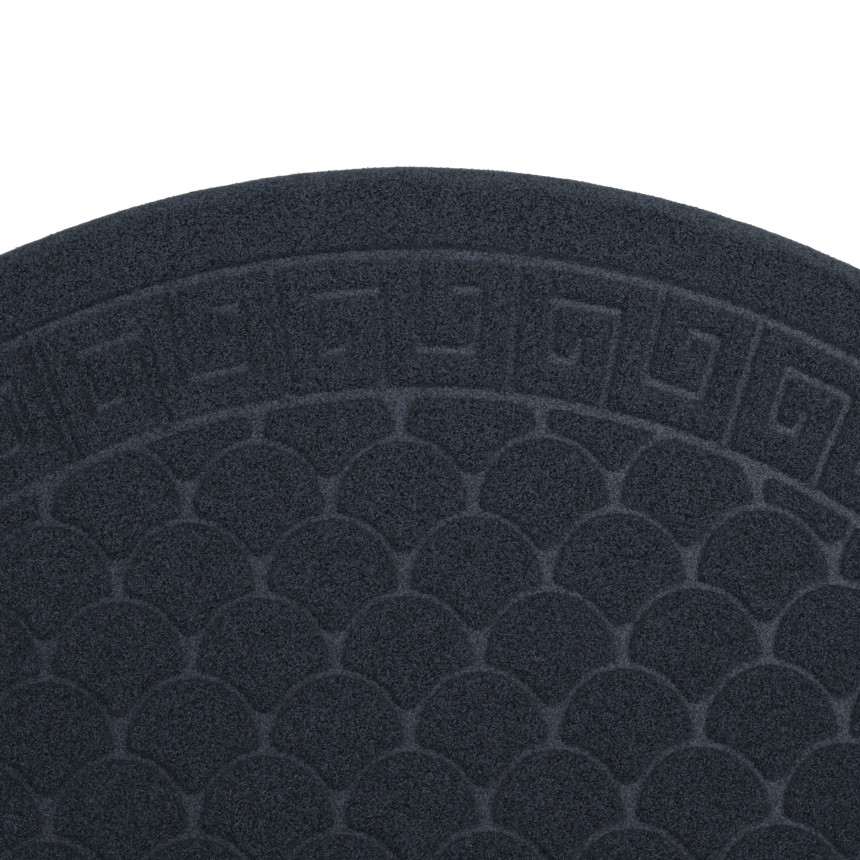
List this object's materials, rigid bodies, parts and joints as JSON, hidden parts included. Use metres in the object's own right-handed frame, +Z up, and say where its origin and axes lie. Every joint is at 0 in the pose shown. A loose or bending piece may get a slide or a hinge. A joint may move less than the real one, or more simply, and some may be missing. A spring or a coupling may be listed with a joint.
{
  "type": "half moon doormat",
  "caption": "Half moon doormat moulded in one flat piece, with pressed grooves: fish scales within a Greek key border and a raised rim.",
  "frame": {"origin": "under the middle of the mat's bounding box, on the surface it lies on", "axes": "+X along the straight side, +Y towards the top of the arch, +Z up out of the pile"},
  "size_m": [0.7496, 0.45, 0.008],
  "materials": {
    "navy_felt": "matte needled felt"
  },
  "bodies": {
    "root": {"mat": "navy_felt"}
  },
  "joints": []
}
